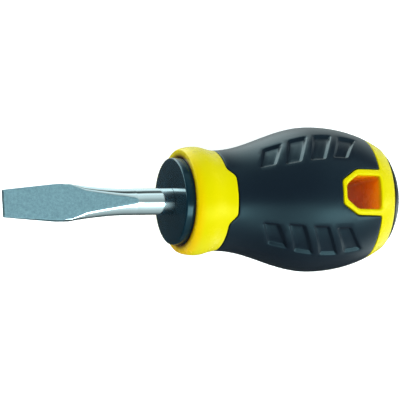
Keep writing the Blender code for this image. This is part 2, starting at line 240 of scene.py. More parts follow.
# ================================================================ the handle's surface
def barrel_radius(at):
    """Radius of the handle behind the collar: waist, swell to the belly, fall to the domed butt."""
    if at <= WAIST_AT:
        return WAIST_RADIUS
    if at <= BELLY_AT:
        swell = (1 - cos(pi * (at - WAIST_AT) / (BELLY_AT - WAIST_AT))) / 2
        return WAIST_RADIUS + (BELLY_RADIUS - WAIST_RADIUS) * swell
    if at <= DOME_FRONT:
        return BELLY_RADIUS * sqrt(1 - ((at - BELLY_AT) / REAR_REACH) ** 2)
    dome, centre = butt_dome()
    return sqrt(dome**2 - (at - centre) ** 2)


def butt_dome():
    """Radius and centre of the sphere that rounds off the butt, as far as its small flat."""
    edge_radius = barrel_radius(DOME_FRONT)
    height = BUTT - DOME_FRONT
    sunk = (edge_radius**2 - BUTT_FLAT_RADIUS**2 - height**2) / (2 * height)
    return hypot(edge_radius, sunk), DOME_FRONT - sunk


def collar_radius(at):
    """Radius of the collar: a rounded front slope, a lip, and an easy fall to the waist."""
    if at >= COLLAR_REAR:
        return barrel_radius(at)
    if at < LIP_AT:
        ahead = min((LIP_AT - at) / (LIP_AT - COLLAR_FRONT), 1.0)
        return LIP_FRONT_RADIUS + (LIP_RADIUS - LIP_FRONT_RADIUS) * sqrt(1 - ahead**2)
    ease = (1 - cos(pi * (at - LIP_AT) / (COLLAR_REAR - LIP_AT))) / 2
    return LIP_RADIUS + (WAIST_RADIUS - LIP_RADIUS) * ease


def wrap(ring, radius):
    """Carries (station, arc, depth) points of the flat layout onto the handle."""
    wrapped = []
    for at, arc, depth in ring:
        reach = radius(at) - depth
        angle = arc / LAYOUT_RADIUS
        wrapped.append((NOSE + at, reach * sin(angle), reach * cos(angle)))
    return wrapped


# ================================================================ paths in the flat layout
def resample(path, step, closed=False):
    """The same path with points no further apart than step."""
    ends = zip(path, path[1:] + path[:1]) if closed else zip(path, path[1:])
    points = []
    for a, b in ends:
        a, b = np.array(a), np.array(b)
        count = max(1, int(np.ceil(np.linalg.norm(b - a) / step)))
        points += [tuple(a + (b - a) * i / count) for i in range(count)]
    return points if closed else points + [tuple(path[-1])]


def rounded(path, cut, closed=False):
    """The path with each corner cut back by up to cut and bridged by a curve."""
    points = []
    for i, corner in enumerate(path):
        if not closed and i in (0, len(path) - 1):
            points.append(tuple(corner))
            continue
        corner = np.array(corner)
        before = np.array(path[i - 1]) - corner
        after = np.array(path[(i + 1) % len(path)]) - corner
        lengths = np.linalg.norm(before), np.linalg.norm(after)
        back = min(cut, *(LONGEST_CUT * length for length in lengths))
        start = corner + before / lengths[0] * back
        end = corner + after / lengths[1] * back
        points += [tuple(point) for point in bend(start, corner, end, CORNER_STEPS)]
    return points


def offset(path, distance, closed=False):
    """The path moved to its left by a distance, with mitred corners."""
    p = np.array(path)
    step = np.roll(p, -1, axis=0) - p
    step /= np.linalg.norm(step, axis=1, keepdims=True) + TINY
    left = np.stack([-step[:, 1], step[:, 0]], 1)
    before = np.roll(left, 1, axis=0)
    if not closed:
        left[-1] = left[-2]
        before[0] = left[0]
    mitre = (left + before) / (1 + (left * before).sum(1, keepdims=True))
    return [tuple(point) for point in p + distance * mitre]


def both_sides(outline):
    """The outline, and then its mirror image backwards."""
    return outline + [(x, -y) for x, y in reversed(outline)]


def plan_to_layout(plan):
    """Carries a plan seen from above, as (station, y), onto the layout of the upper face."""
    return [(at, LAYOUT_RADIUS * asin(y / barrel_radius(at))) for at, y in plan]


def edge_line(edge, plan):
    """A line once round the handle at one station, broken by a plan on each face."""
    start = (edge, LAYOUT_LOW)
    end = (edge, -LAYOUT_LOW)
    middle = plan_to_layout(resample(plan, RING_STEP))
    half = resample([start, middle[0]], RING_STEP)[:-1] + middle
    half += resample([middle[-1], end], RING_STEP)[1:]
    return half + [(at, arc + HALF_TURN) for at, arc in half[1:]]


def straight_line(edge):
    """A line once round the handle at one station."""
    return resample([(edge, LAYOUT_LOW), (edge, LAYOUT_HIGH)], RING_STEP)


# ================================================================ rings and skins
def with_depth(path, depth):
    """The path as a ring at one depth."""
    return [(at, arc, depth) for at, arc in path]


def rounded_edge(path, radius, inwards, closed=False, steps=EDGE_STEPS):
    """Rings that turn a cut edge over into the surface. inwards is 1 if the skin lies to the left."""
    rings = []
    for turn in [pi / 2 * i / steps for i in range(steps + 1)]:
        moved = offset(path, inwards * radius * (1 - cos(turn)), closed)
        rings.append(with_depth(moved, radius * (1 - sin(turn))))
    return rings


def across(rings):
    """The same rings on the lower face."""
    return [[(at, HALF_TURN - arc, depth) for at, arc, depth in ring] for ring in rings]


def mirrored(rings):
    """The same rings on the other side of the upper face's middle."""
    return [[(at, -arc, depth) for at, arc, depth in ring] for ring in rings]


def inside(points, loop):
    """Which points lie in a closed loop, by counting the loop's edges to their right."""
    x, y = points[:, 0:1], points[:, 1:2]
    a = np.array(loop)[:, :2]
    b = np.roll(a, -1, axis=0)
    spans = (a[:, 1] > y) != (b[:, 1] > y)
    rise = np.where(np.abs(b[:, 1] - a[:, 1]) < TINY, TINY, b[:, 1] - a[:, 1])
    meets = a[:, 0] + (y - a[:, 1]) * (b[:, 0] - a[:, 0]) / rise
    return ((spans & (x < meets)).sum(1) % 2).astype(bool)


def fill_points(front, rear, rings, step):
    """A staggered lattice between two lines, clear of every ring."""
    rows = int(round((LAYOUT_HIGH - LAYOUT_LOW) / (ROW_SPACING * step)))
    points = []
    first = min(at for at, *_ in front)
    last = max(at for at, *_ in rear)
    for row in range(rows + 1):
        arc = LAYOUT_LOW + (LAYOUT_HIGH - LAYOUT_LOW) * row / rows
        shift = 0.5 * step if row % 2 and row != rows else 0.0
        points += [(at, arc) for at in np.arange(first + shift, last, step)]
    points = np.array(points)
    front, rear = np.array(front), np.array(rear)
    keep = points[:, 0] > np.interp(points[:, 1], front[:, 1], front[:, 0])
    keep &= points[:, 0] < np.interp(points[:, 1], rear[:, 1], rear[:, 0])
    points = points[keep]
    marks = np.concatenate([np.array(ring)[:, :2] for ring in rings])
    clear = np.ones(len(points), bool)
    for start in range(0, len(marks), MARKS_AT_ONCE):
        gaps = points[:, None, :] - marks[None, start : start + MARKS_AT_ONCE, :]
        clear &= (gaps**2).sum(2).min(1) > (CLEARANCE * step) ** 2
    return points[clear]


def triangulate(rims, rings, fill):
    """Triangles of the layout. rims and rings are (points, closed); rims bound the skin."""
    points, edges, rim = [], [], []
    for number, (ring, closed) in enumerate(rims + rings):
        start = len(points)
        points += ring
        rim += [number if number < len(rims) else -1] * len(ring)
        edges += [(start + i, start + i + 1) for i in range(len(ring) - 1)]
        if closed:
            edges.append((start + len(ring) - 1, start))
    points += fill
    rim += [-1] * len(fill)
    flat = [Vector((at / MM, arc / MM)) for at, arc, _ in points]
    found = delaunay_2d_cdt(flat, edges, [], 0, CUTTING_ACCURACY)
    origin = [members[0] for members in found[3]]
    triangles = []
    for face in found[2]:
        face = [origin[i] for i in face]
        sides = {rim[i] for i in face}
        if len(sides) > 1 or -1 in sides:
            triangles.append(face)
    return points, triangles


def skin(radius, front, rear, holes=(), pads=()):
    """One wrapped skin. front, rear, each hole and each pad are lists of rings, the rim first."""
    every = [ring for group in (front, rear, *holes, *pads) for ring in group]
    lattice = fill_points(front[0], rear[0], every, FILL_STEP)
    keep = np.ones(len(lattice), bool)
    for hole in holes:
        keep &= ~inside(lattice, hole[0])
    lattice = lattice[keep]
    depth = np.zeros(len(lattice))
    for pad in pads:
        depth[inside(lattice, pad[-1])] = PAD_DEPTH
    fill = [(x, y, d) for (x, y), d in zip(lattice, depth)]
    rims = [(front[0], False), (rear[0], False)] + [(hole[0], True) for hole in holes]
    rings = [(ring, False) for group in (front, rear) for ring in group[1:]]
    rings += [(ring, True) for hole in holes for ring in hole[1:]]
    rings += [(ring, True) for pad in pads for ring in pad]
    points, triangles = triangulate(rims, rings, fill)
    return wrap(points, radius), triangles


def strips(levels, closed=False):
    """Quads between successive rows of points."""
    points = [point for level in levels for point in level]
    width = len(levels[0])
    faces = []
    for row in range(len(levels) - 1):
        for i in range(width if closed else width - 1):
            a, b = row * width + i, row * width + (i + 1) % width
            faces.append((a, b, b + width, a + width))
    return points, faces


def polygon(points):
    """One face with these corners."""
    return points, [tuple(range(len(points)))]


def wall(ring, radius, depth, rows):
    """The cut face that goes down from a rim to a depth."""
    levels = []
    for row in range(rows + 1):
        levels.append([(at, arc, d + (depth - d) * row / rows) for at, arc, d in ring])
    return strips([wrap(level, radius) for level in levels])


def sleeve(radius, front, rear, depth, pads=(), wall_rows=1):
    """A closed tube between two lines of rings: outer skin, two cut ends and a plain inside."""
    inner_front = [(at, arc, depth) for at, arc, _ in front[0]]
    inner_rear = [(at, arc, depth) for at, arc, _ in rear[0]]
    lattice = fill_points(inner_front, inner_rear, [inner_front, inner_rear], COARSE_STEP)
    fill = [(x, y, depth) for x, y in lattice]
    points, faces = triangulate([(inner_front, False), (inner_rear, False)], [], fill)
    return [
        skin(radius, front, rear, pads=pads),
        wall(front[0], radius, depth, wall_rows),
        wall(rear[0], radius, depth, wall_rows),
        (wrap(points, radius), faces),
    ]


def lathe(outline, closed=False):
    """Turns (x, radius) points about the tool's axis."""
    turns = [tau * i / SIDES for i in range(SIDES)]
    levels = [[(x, radius * cos(a), radius * sin(a)) for a in turns] for x, radius in outline]
    if closed:
        levels.append(levels[0])
    return strips(levels, closed=True)


def arc_points(centre, radius, start, end, steps):
    """(x, radius) points on an arc: angle 0 points outwards, 90 degrees towards the tip."""
    angles = [start + (end - start) * i / steps for i in range(steps + 1)]
    return [(centre[0] - radius * sin(a), centre[1] + radius * cos(a)) for a in angles]


# ================================================================ pieces
def piece(name, node, patches, materials, material_of=None, marks=None):
    """Joins patches of faces into one closed mesh, which stands for a CAD node.

    material_of gives a face's place in materials. marks gives, by name, functions of a
    vertex's place whose values are stored on the mesh for its material.
    """
    shape = bmesh.new()
    for points, faces in patches:
        corners = [shape.verts.new(point) for point in points]
        for face in faces:
            made = shape.faces.new([corners[i] for i in face])
            made.smooth = True
            if material_of:
                made.material_index = material_of(made)
    bmesh.ops.remove_doubles(shape, verts=shape.verts, dist=WELD)
    bmesh.ops.dissolve_degenerate(shape, edges=shape.edges, dist=WELD / 2)
    bmesh.ops.recalc_face_normals(shape, faces=shape.faces)
    mesh = bpy.data.meshes.new(name)
    shape.to_mesh(mesh)
    shape.free()
    mesh.set_sharp_from_angle(angle=SMOOTH_ANGLE)
    for mark, amount in (marks or {}).items():
        values = [amount(vertex.co) for vertex in mesh.vertices]
        mesh.attributes.new(mark, "FLOAT", "POINT").data.foreach_set("value", values)
    for material in materials:
        mesh.materials.append(material)
    item = bpy.data.objects.new(name, mesh)
    bpy.context.scene.collection.objects.link(item)
    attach(item, "root")
    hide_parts(node)
    return item


# ---------------------------------------------------------------- blade
def blade_half_width(at):
    """Half the blade's width: it flares from the tip, and narrows again to the shaft."""
    if at <= FLARE_FRONT:
        return TIP_HALF_WIDTH + (FLARE_HALF_WIDTH - TIP_HALF_WIDTH) * at / FLARE_FRONT
    if at >= NECK_END:
        return SHAFT_RADIUS
    left = min(1.0, (NECK_END - at) / (NECK_END - FLARE_REAR))
    return SHAFT_RADIUS + (FLARE_HALF_WIDTH - SHAFT_RADIUS) * left**NECK_SHARPNESS


def blade_section(at):
    """One section of the blade: boxy, then round, with the top and bottom ground flat."""
    roundness = min(max((at - SQUARE_UNTIL) / (ROUND_FROM - SQUARE_UNTIL), 0.0), 1.0)
    power = SQUARENESS + (2 - SQUARENESS) * roundness
    half_width = blade_half_width(at)
    rise = (SHAFT_RADIUS - TIP_HALF_THICKNESS) / FACET_END
    height = min(TIP_HALF_THICKNESS + rise * at, SHAFT_RADIUS)

    def side_point(turn):
        """(y, z) on the section before it is ground, at an angle from its top."""
        upwards = copysign(abs(cos(turn)) ** (2 / power), cos(turn))
        return np.array((-half_width * sin(turn) ** (2 / power), SHAFT_RADIUS * upwards))

    corner_turn = acos((height / SHAFT_RADIUS) ** (power / 2))
    corner = side_point(corner_turn)
    speed = np.linalg.norm(side_point(corner_turn + SMALL_TURN) - corner) / SMALL_TURN
    along_neck = smooth_step((at - BLASTED_UNTIL) / NECK_EDGE_GROWS_OVER)
    cut = min(TIP_EDGE + (NECK_EDGE - TIP_EDGE) * along_neck, -corner[0] / 2)
    side_turn = corner_turn + cut / speed
    edge = bend(corner + (cut, 0.0), corner, side_point(side_turn), GROUND_EDGE_STEPS)

    flat_half_width = -edge[0][0]
    last_column = flat_half_width - FLAT_MARGIN * cut
    columns = [flat_half_width] + stations(last_column, -last_column, FLAT_COLUMNS)
    top = [(y, height) for y in columns]
    side = [side_point(turn) for turn in stations(side_turn, pi - side_turn, BLADE_SIDE_POINTS)]
    lower_edge = [(y, -z) for y, z in reversed(edge)]
    half = [(at, y, z) for y, z in top + edge[:-1] + side[:-1] + lower_edge[:-1]]
    return half + [(x, -y, -z) for x, y, z in half]


def build_blade(polished, blasted):
    """The bar: tip, neck and shaft, and a plain round tang inside the handle."""
    at = [0.0]
    for end, count in BLADE_STRETCHES:
        at += stations(at[-1], end, count)[1:]
    sections = [blade_section(x) for x in at]
    points, faces = strips(sections, closed=True)
    width = len(sections[0])
    faces.append(tuple(range(width))[::-1])
    faces.append(tuple(len(points) - width + i for i in range(width)))

    def finish_of(face):
        """1, the blasted finish, on the blade's end and on its ground flats."""
        middle = face.calc_center_median()
        face.normal_update()
        ground = abs(face.normal.z) > GROUND_NORMAL and middle.x < FACET_END
        return 1 if ground or middle.x < BLASTED_UNTIL else 0

    materials = [polished, blasted]
    blade = piece("blade_steel", "blade", [(points, faces)], materials, finish_of)
    bevel = blade.modifiers.new("Edges of the end", "BEVEL")
    bevel.width = TIP_EDGE
    bevel.segments = 2
    bevel.angle_limit = BLADE_END_ANGLE


# ---------------------------------------------------------------- nose disc and core
def build_core(material):
    """The nose disc with its rounded rim, and the rod behind it as far as the rear frame."""
    bore = SHAFT_RADIUS + BORE_GAP
    rod = WAIST_RADIUS - GRIP_WALL - CAD_GAP
    rear = FRAME_FRONT - CAD_GAP
    edge_centre = (NOSE + NOSE_EDGE, NOSE_RADIUS - NOSE_EDGE)
    outline = [(NOSE + BORE_EDGE, bore), (NOSE, bore + BORE_EDGE)]
    outline += arc_points(edge_centre, NOSE_EDGE, pi / 2, 0.0, NOSE_EDGE_STEPS)
    outline += [(NOSE + NOSE_THICKNESS, NOSE_RADIUS), (NOSE + NOSE_THICKNESS, rod)]
    for at in stations(WAIST_AT, rear, ROD_STATIONS):
        outline.append((NOSE + at, barrel_radius(at) - GRIP_WALL - CAD_GAP))
    outline.append((NOSE + rear, bore))
    patches = [lathe(outline, closed=True)]
    piece("nose_and_core", "core", patches, [material])


# ---------------------------------------------------------------- front collar
def tab_plan(clearance):
    """Rear edge of the collar seen from above, from one side of a tab to the other."""
    root = COLLAR_REAR + clearance
    corners = both_sides(
        [
            (root, -TAB_ROOT_HALF_WIDTH - TAB_FLANK),
            (root, -TAB_ROOT_HALF_WIDTH),
            (TAB_REAR + clearance, -TAB_HALF_WIDTH),
        ]
    )
    return rounded(corners, TAB_CORNER)


def build_front_collar(material):
    """The flared ring round the nose disc, with a tab on each face."""
    turns = [pi / 2 * (1 - i / LIP_STEPS) for i in range(LIP_STEPS)]
    front_stations = [LIP_AT - (LIP_AT - COLLAR_FRONT) * sin(turn) for turn in turns]
    front = [with_depth(straight_line(at), 0.0) for at in front_stations]
    rear = rounded_edge(edge_line(COLLAR_REAR, tab_plan(0.0)), HARD_EDGE, 1)
    depth = LIP_FRONT_RADIUS - NOSE_RADIUS - COLLAR_BORE_GAP
    patches = sleeve(collar_radius, front, rear, depth, wall_rows=LIP_WALL_ROWS)

    def orange_shade_at(point):
        """How much orange shade is painted on the collar's front slope: more on its low side."""
        ahead = LIP_AT - SLOPE_SHADE_FROM - (point.x - NOSE)
        low_side = 0.5 - 0.5 * point.y / LIP_RADIUS
        orange = SLOPE_SHADE + SLOPE_SHADE_LOW_SIDE * low_side
        return smooth_step(ahead / SLOPE_SHADE_OVER) * orange

    def brown_shade_at(point):
        """How much dark brown shade is painted on the collar, close to the nose disc."""
        inwards = LIP_FRONT_RADIUS - CORNER_SHADE_FROM - hypot(point.y, point.z)
        return smooth_step(inwards / CORNER_SHADE_OVER)

    # Painted shade: orange on the front slope, dark brown by the nose disc.
    marks = {"sunk": orange_shade_at, "corner": brown_shade_at}
    piece("front_collar_skin", "front_collar", patches, [material], marks=marks)


# ---------------------------------------------------------------- soft grip
def pad_rings(index):
    """One pad of the upper right row: a slanted outline with rings down to its floor."""
    inner = PAD_INNER_START + index * PAD_INNER_PITCH
    outer = PAD_OUTER_START + index * PAD_OUTER_PITCH
    half = PAD_WIDEST_HALF_ANGLE - PAD_NARROWING * (index - PAD_WIDEST_INDEX) ** 2
    low, high = LAYOUT_RADIUS * (PAD_ROW_ANGLE - half), LAYOUT_RADIUS * (PAD_ROW_ANGLE + half)
    corners = [
        (inner, low),
        (inner + PAD_INNER_LENGTH, low),
        (outer + PAD_OUTER_LENGTH, high),
        (outer, high),
    ]
    rings = []
    for millimetres, share in PAD_PROFILE:
        inwards = millimetres * MM
        cut = max(PAD_CORNER - PAD_CORNER_SHRINKS * inwards, PAD_CORNER_LEAST)
        outline = rounded(offset(corners, inwards, closed=True), cut, closed=True)
        rings.append(with_depth(resample(outline, RING_STEP, closed=True), share * PAD_DEPTH))
    return rings


def build_soft_grip(material):
    """The soft sleeve, cut out round the tabs and the window frames, with its sunken pads."""
    front_path = edge_line(COLLAR_REAR + PARTING, tab_plan(PARTING))
    front = rounded_edge(front_path, SOFT_EDGE, -1)
    rear_path = edge_line(RING_FRONT - PARTING, frame_plan(-PARTING))
    rear = rounded_edge(rear_path, SOFT_EDGE, 1)
    pads = []
    for index in range(PADS_PER_ROW):
        upper = pad_rings(index)
        pads += [upper, mirrored(upper), across(upper), across(mirrored(upper))]
    patches = sleeve(barrel_radius, front, rear, GRIP_WALL, pads)
    piece("soft_grip_skin", "soft_grip", patches, [material])


# ---------------------------------------------------------------- rear frame
def frame_plan(clearance):
    """Front edge of a window frame seen from above, with the ring's edge on each side."""
    wide = FRAME_HALF_WIDTH - clearance
    ring = RING_FRONT + clearance
    corners = both_sides(
        [
            (ring, -wide - FRAME_FLANK),
            (ring, -wide),
            (FRAME_SHOULDER + clearance, -wide),
            (FRAME_FRONT + clearance, clearance - FRAME_NOSE_HALF_WIDTH),
        ]
    )
    return rounded(corners, FRAME_CORNER)


def hole_path():
    """The hanging hole's mouth in the upper face, clockwise, so that the skin lies to its left."""
    wide = FRAME_HALF_WIDTH - RIM_SIDE
    narrow = FRAME_NOSE_HALF_WIDTH - RIM_FRONT
    corners = both_sides(
        [(FRAME_FRONT + RIM_FRONT, narrow), (FRAME_SHOULDER, wide), (HOLE_REAR, wide)]
    )
    plan = rounded(corners, HOLE_CORNER, closed=True)
    return plan_to_layout(resample(plan, RING_STEP, closed=True))


def hole_wall(mouths):
    """The hanging hole's wall, from the rim in the upper face to the rim in the lower one."""
    top, bottom = (np.array(wrap(rings[0], barrel_radius)) for rings in mouths)
    levels = [top + (bottom - top) * row / HOLE_WALL_ROWS for row in range(HOLE_WALL_ROWS + 1)]
    return strips(levels, closed=True)


def frame_inside(rim):
    """Closes the frame's front rim: a sheet from one window frame to the other, and two sides."""
    half = len(rim) // 2
    reach = FRAME_HALF_WIDTH + INSIDE_SHEET_MARGIN
    near_window = [i for i in range(half) if abs(rim[i][1]) < reach]
    first, last = near_window[0], near_window[-1]
    upper = rim[first : last + 1]
    lower = rim[half + first : half + last + 1][::-1]
    right = rim[last : half + first + 1]
    left = rim[half + last : -1] + rim[: first + 1]
    return [strips([upper, lower]), polygon(right), polygon(left)]


def build_rear_frame(material):
    """The ring at the rear, with the two window frames and the hanging hole through them."""
    front_path = edge_line(RING_FRONT, frame_plan(0.0))
    front = rounded_edge(front_path, HARD_EDGE, -1)
    rear = rounded_edge(straight_line(RING_REAR), RING_EDGE, 1, steps=RING_EDGE_STEPS)
    mouth = rounded_edge(hole_path(), HOLE_EDGE, 1, closed=True, steps=HOLE_EDGE_STEPS)
    mouths = [mouth, across(mouth)]
    patches = [skin(barrel_radius, front, rear, mouths), hole_wall(mouths)]
    patches += frame_inside(wrap(front[0], barrel_radius))
    patches.append(polygon(wrap(rear[0][:-1], barrel_radius)))

    def orange_shade_at(point):
        """How much orange shade is painted on the frame, by the depth below the handle's surface."""
        depth = barrel_radius(point.x - NOSE) - hypot(point.y, point.z)
        return smooth_step((depth - HOLE_SHADE_FROM) / HOLE_SHADE_OVER)

    # Painted shade: orange down the hole, and none of the brown.
    marks = {"sunk": orange_shade_at, "corner": lambda point: 0.0}
    piece("rear_frame_skin", "rear_frame", patches, [material], marks=marks)


# ---------------------------------------------------------------- end cap
def build_end_cap(material):
    """The domed butt, with a shallow dimple in its small flat and a rounded front edge."""
    dome, centre = butt_dome()
    front = RING_REAR + PARTING
    radius = barrel_radius(front + CAP_SHOULDER)
    flat = NOSE + BUTT
    dimple = BUTT_FLAT_RADIUS - DIMPLE_MARGIN
    outline = [(flat - DIMPLE_DEPTH, 0.0), (flat - DIMPLE_DEPTH, dimple - DIMPLE_SLOPE)]
    outline.append((flat, dimple))
    for angle in stations(asin(BUTT_FLAT_RADIUS / dome), asin(radius / dome), DOME_STATIONS):
        outline.append((NOSE + centre + dome * cos(angle), dome * sin(angle)))
    outline += [(NOSE + front + behind, radius - inwards) for behind, inwards in CAP_EDGE]
    outline.append((NOSE + front, 0.0))
    piece("end_cap_dome", "end_cap", [lathe(outline)], [material])


# ================================================================ material helpers
def new_material(name, colour, roughness, metallic=0.0, specular=0.5, tint=(1.0, 1.0, 1.0)):
    """A new material, its node tree and its shader."""
    material = bpy.data.materials.new(name)
    material.use_nodes = True
    shader = material.node_tree.nodes["Principled BSDF"]
    shader.inputs["Base Color"].default_value = (*colour, 1.0)
    shader.inputs["Roughness"].default_value = roughness
    shader.inputs["Metallic"].default_value = metallic
    shader.inputs["Specular IOR Level"].default_value = specular
    shader.inputs["Specular Tint"].default_value = (*tint, 1.0)
    return material, material.node_tree, shader


def noise(tree, repeats, detail=4.0, roughness=0.6):
    """Noise fixed to the object. repeats is how often it varies per metre along X, Y and Z."""
    source = tree.nodes.new("ShaderNodeTexCoord")
    mapping = tree.nodes.new("ShaderNodeMapping")
    mapping.inputs["Scale"].default_value = repeats
    texture = tree.nodes.new("ShaderNodeTexNoise")
    texture.inputs["Scale"].default_value = 1.0
    texture.inputs["Detail"].default_value = detail
    texture.inputs["Roughness"].default_value = roughness
    tree.links.new(source.outputs["Object"], mapping.inputs["Vector"])
    tree.links.new(mapping.outputs["Vector"], texture.inputs["Vector"])
    return texture.outputs["Fac"]


def ramp(tree, value, low, high, start=0.0, end=1.0):
    """Maps start..end to low..high, and holds it outside."""
    mapped = tree.nodes.new("ShaderNodeMapRange")
    mapped.inputs["From Min"].default_value = start
    mapped.inputs["From Max"].default_value = end
    mapped.inputs["To Min"].default_value = low
    mapped.inputs["To Max"].default_value = high
    tree.links.new(value, mapped.inputs["Value"])
    return mapped.outputs["Result"]


def mix(tree, share, first, second):
    """Mixes two colours. Each is a socket, or a plain colour."""
    node = tree.nodes.new("ShaderNodeMix")
    node.data_type = "RGBA"
    sockets = [socket for socket in node.inputs if socket.type == "RGBA"]
    for socket, colour in zip(sockets, (first, second)):
        if isinstance(colour, tuple):
            socket.default_value = (*colour, 1.0)
        else:
            tree.links.new(colour, socket)
    tree.links.new(share, node.inputs["Factor"])
    return next(socket for socket in node.outputs if socket.type == "RGBA")


def colour_ramp(tree, value, stops):
    """Colours by a value from 0 to 1. Each stop is (place, colour), the first at 0, the last at 1."""
    node = tree.nodes.new("ShaderNodeValToRGB")
    elements = node.color_ramp.elements
    for place, _ in stops[1:-1]:
        elements.new(place)
    for element, (_, colour) in zip(elements, stops):
        element.color = (*colour, 1.0)
    tree.links.new(value, node.inputs["Fac"])
    return node.outputs["Color"]


def bump(tree, height, shader, strength, depth):
    """Gives the shader a fine relief, depth metres deep."""
    node = tree.nodes.new("ShaderNodeBump")
    node.inputs["Strength"].default_value = strength
    node.inputs["Distance"].default_value = depth
    tree.links.new(height, node.inputs["Height"])
    tree.links.new(node.outputs["Normal"], shader.inputs["Normal"])


def mark_on_mesh(tree, name):
    """The value that a piece's mesh carries under this name."""
    mark = tree.nodes.new("ShaderNodeAttribute")
    mark.attribute_name = name
    return mark.outputs["Fac"]


# ================================================================ materials
def soft_grip_material():
    """Dark blue-grey rubber with a fine moulded speckle."""
    material, tree, shader = new_material(
        "soft_grip", (0.005, 0.009, 0.013), 0.3, specular=0.2, tint=(0.5, 0.9, 1.0)
    )
    speckle = noise(tree, (5000, 5000, 5000), 2.0)
    dark, light = (0.0035, 0.0065, 0.0115), (0.0065, 0.0105, 0.0175)
    tree.links.new(mix(tree, speckle, dark, light), shader.inputs["Base Color"])
    cloud = noise(tree, (160, 160, 160))
    tree.links.new(ramp(tree, cloud, 0.26, 0.34), shader.inputs["Roughness"])
    bump(tree, speckle, shader, 0.25, 0.03 * MM)
    return material


def yellow_material():
    """Yellow plastic with orange painted shade where the mesh's sunk mark says, and dark brown painted
    shade where its corner mark says.
    """
    material, tree, shader = new_material(
        "yellow_plastic", (0.56, 0.46, 0.0), 0.26, specular=0.18, tint=(1.0, 1.0, 0.1)
    )
    cloud = noise(tree, (220, 220, 220))
    shade_and_tone = tree.nodes.new("ShaderNodeMath")
    shade_and_tone.operation = "ADD"
    tree.links.new(mark_on_mesh(tree, "sunk"), shade_and_tone.inputs[0])
    tree.links.new(ramp(tree, cloud, 0.0, 0.06), shade_and_tone.inputs[1])
    # Plain yellow, then orange painted shade, deepest down the hole.
    stops = [(0.0, (0.56, 0.47, 0.0)), (0.4, (0.68, 0.39, 0.0)), (1.0, (0.92, 0.34, 0.0))]
    colour = colour_ramp(tree, shade_and_tone.outputs["Value"], stops)
    # Dark brown painted shade where the collar meets the nose disc.
    colour = mix(tree, mark_on_mesh(tree, "corner"), colour, (0.05, 0.006, 0.0))
    tree.links.new(colour, shader.inputs["Base Color"])
    tree.links.new(ramp(tree, cloud, 0.22, 0.32), shader.inputs["Roughness"])
    grain = noise(tree, (1800, 1800, 1800))
    bump(tree, grain, shader, 0.08, 0.02 * MM)
    return material


def gloss_black_material():
    """Polished blue-black plastic with a slight haze."""
    material, tree, shader = new_material(
        "gloss_black", (0.003, 0.010, 0.015), 0.1, specular=0.3, tint=(0.5, 0.9, 1.0)
    )
    haze = noise(tree, (300, 300, 300))
    tree.links.new(ramp(tree, haze, 0.06, 0.14), shader.inputs["Roughness"])
    dark, light = (0.002, 0.011, 0.018), (0.004, 0.016, 0.026)
    tree.links.new(mix(tree, haze, dark, light), shader.inputs["Base Color"])
    return material


def cap_material():
    """Satin black plastic with a fine moulded grain."""
    material, tree, shader = new_material("cap_black", (0.004, 0.008, 0.010), 0.3, specular=0.4)
    grain = noise(tree, (900, 900, 900))
    tree.links.new(ramp(tree, grain, 0.25, 0.38), shader.inputs["Roughness"])
    bump(tree, grain, shader, 0.1, 0.02 * MM)
    return material


def polished_steel():
    """Bright plated steel with faint marks round it from turning."""
    material, tree, shader = new_material("polished_steel", (0.80, 0.94, 0.98), 0.08, 1.0)
    turning = noise(tree, (4000, 60, 60), 3.0)
    tree.links.new(ramp(tree, turning, 0.05, 0.11), shader.inputs["Roughness"])
    bump(tree, turning, shader, 0.04, 0.01 * MM)
    return material


def blasted_steel():
    """Matt steel, mottled by blasting."""
    material, tree, shader = new_material("blasted_steel", (0.42, 0.55, 0.60), 0.5, 1.0)
    grit = noise(tree, (1600, 1600, 1600), 5.0, 0.85)
    dark, light = (0.04, 0.10, 0.13), (0.40, 0.62, 0.70)
    tree.links.new(mix(tree, grit, dark, light), shader.inputs["Base Color"])
    tree.links.new(ramp(tree, grit, 0.42, 0.6), shader.inputs["Roughness"])
    bump(tree, grit, shader, 0.35, 0.03 * MM)
    return material


# ================================================================ stage
COOL_WHITE = (0.86, 1.0, 1.0)
ALONG_TOOL = Vector((1, 0, 0))

# Brightness of the studio by the angle in degrees round the tool: 0 is the camera's side and
# 90 is up in the picture.
BEFORE_TOOL = [
    (-180, 0.11), (-150, 0.08), (60, 0.12), (94, 1.0), (104, 8.0), (140, 8.0), (155, 0.8), (180, 0.11),
]
TIP_SIDE = [
    (-180, 0.15), (-120, 0.05), (-85, 0.15), (-68, 0.8), (-56, 2.2), (-38, 3.4), (-14, 3.6),
    (-5, 0.3), (25, 0.1), (55, 0.3), (70, 0.8), (84, 1.8), (96, 4.2), (108, 5.8),
    (138, 5.8), (152, 2.0), (165, 0.3), (180, 0.15),
]
UNDER_BUTT = [(-180, 0.06), (-145, 0.06), (-123, 0.2), (-107, 0.38), (-94, 0.46), (-82, 0.52)]
UNDER_REAR = [(-180, 0.5), (-170, 1.6), (-100, 1.6), (-85, 0.6)]
ABOVE_BUTT = [
    (-71, 0.7), (-60, 0.85), (-50, 1.1), (-42, 2.2), (-34, 9.0), (-17, 9.0), (-12, 1.1), (-6, 0.55),
    (2, 0.34), (11, 0.36), (20, 0.44), (29, 0.56), (38, 0.66), (57, 0.78), (68, 1.05), (76, 0.7),
    (82, 0.07), (98, 0.07), (106, 0.42), (114, 0.84), (140, 1.1), (160, 0.8), (180, 0.06),
]
# Each part of the studio behind the first, and the share of X in a ray's direction over which it
# takes over from the one before it.
FURTHER_BACK = [
    (TIP_SIDE, -0.37, -0.25),
    (UNDER_BUTT + ABOVE_BUTT, -0.1, 0.36),
    (UNDER_REAR + ABOVE_BUTT, 0.55, 0.65),
]
BRIGHTEST = 9.0

KEY_TURN = radians(38)
KEY_LEAN = radians(-24)
KEY_DISTANCE = 0.9
KEY_SIZE = (0.8, 0.6)
KEY_POWER = 5.2
KEY_AIM = Vector((NOSE + 20 * MM, 0, 0))

FLOOR_HALF_WIDTH = 3.0
FLOOR_GAP = 0.01 * MM

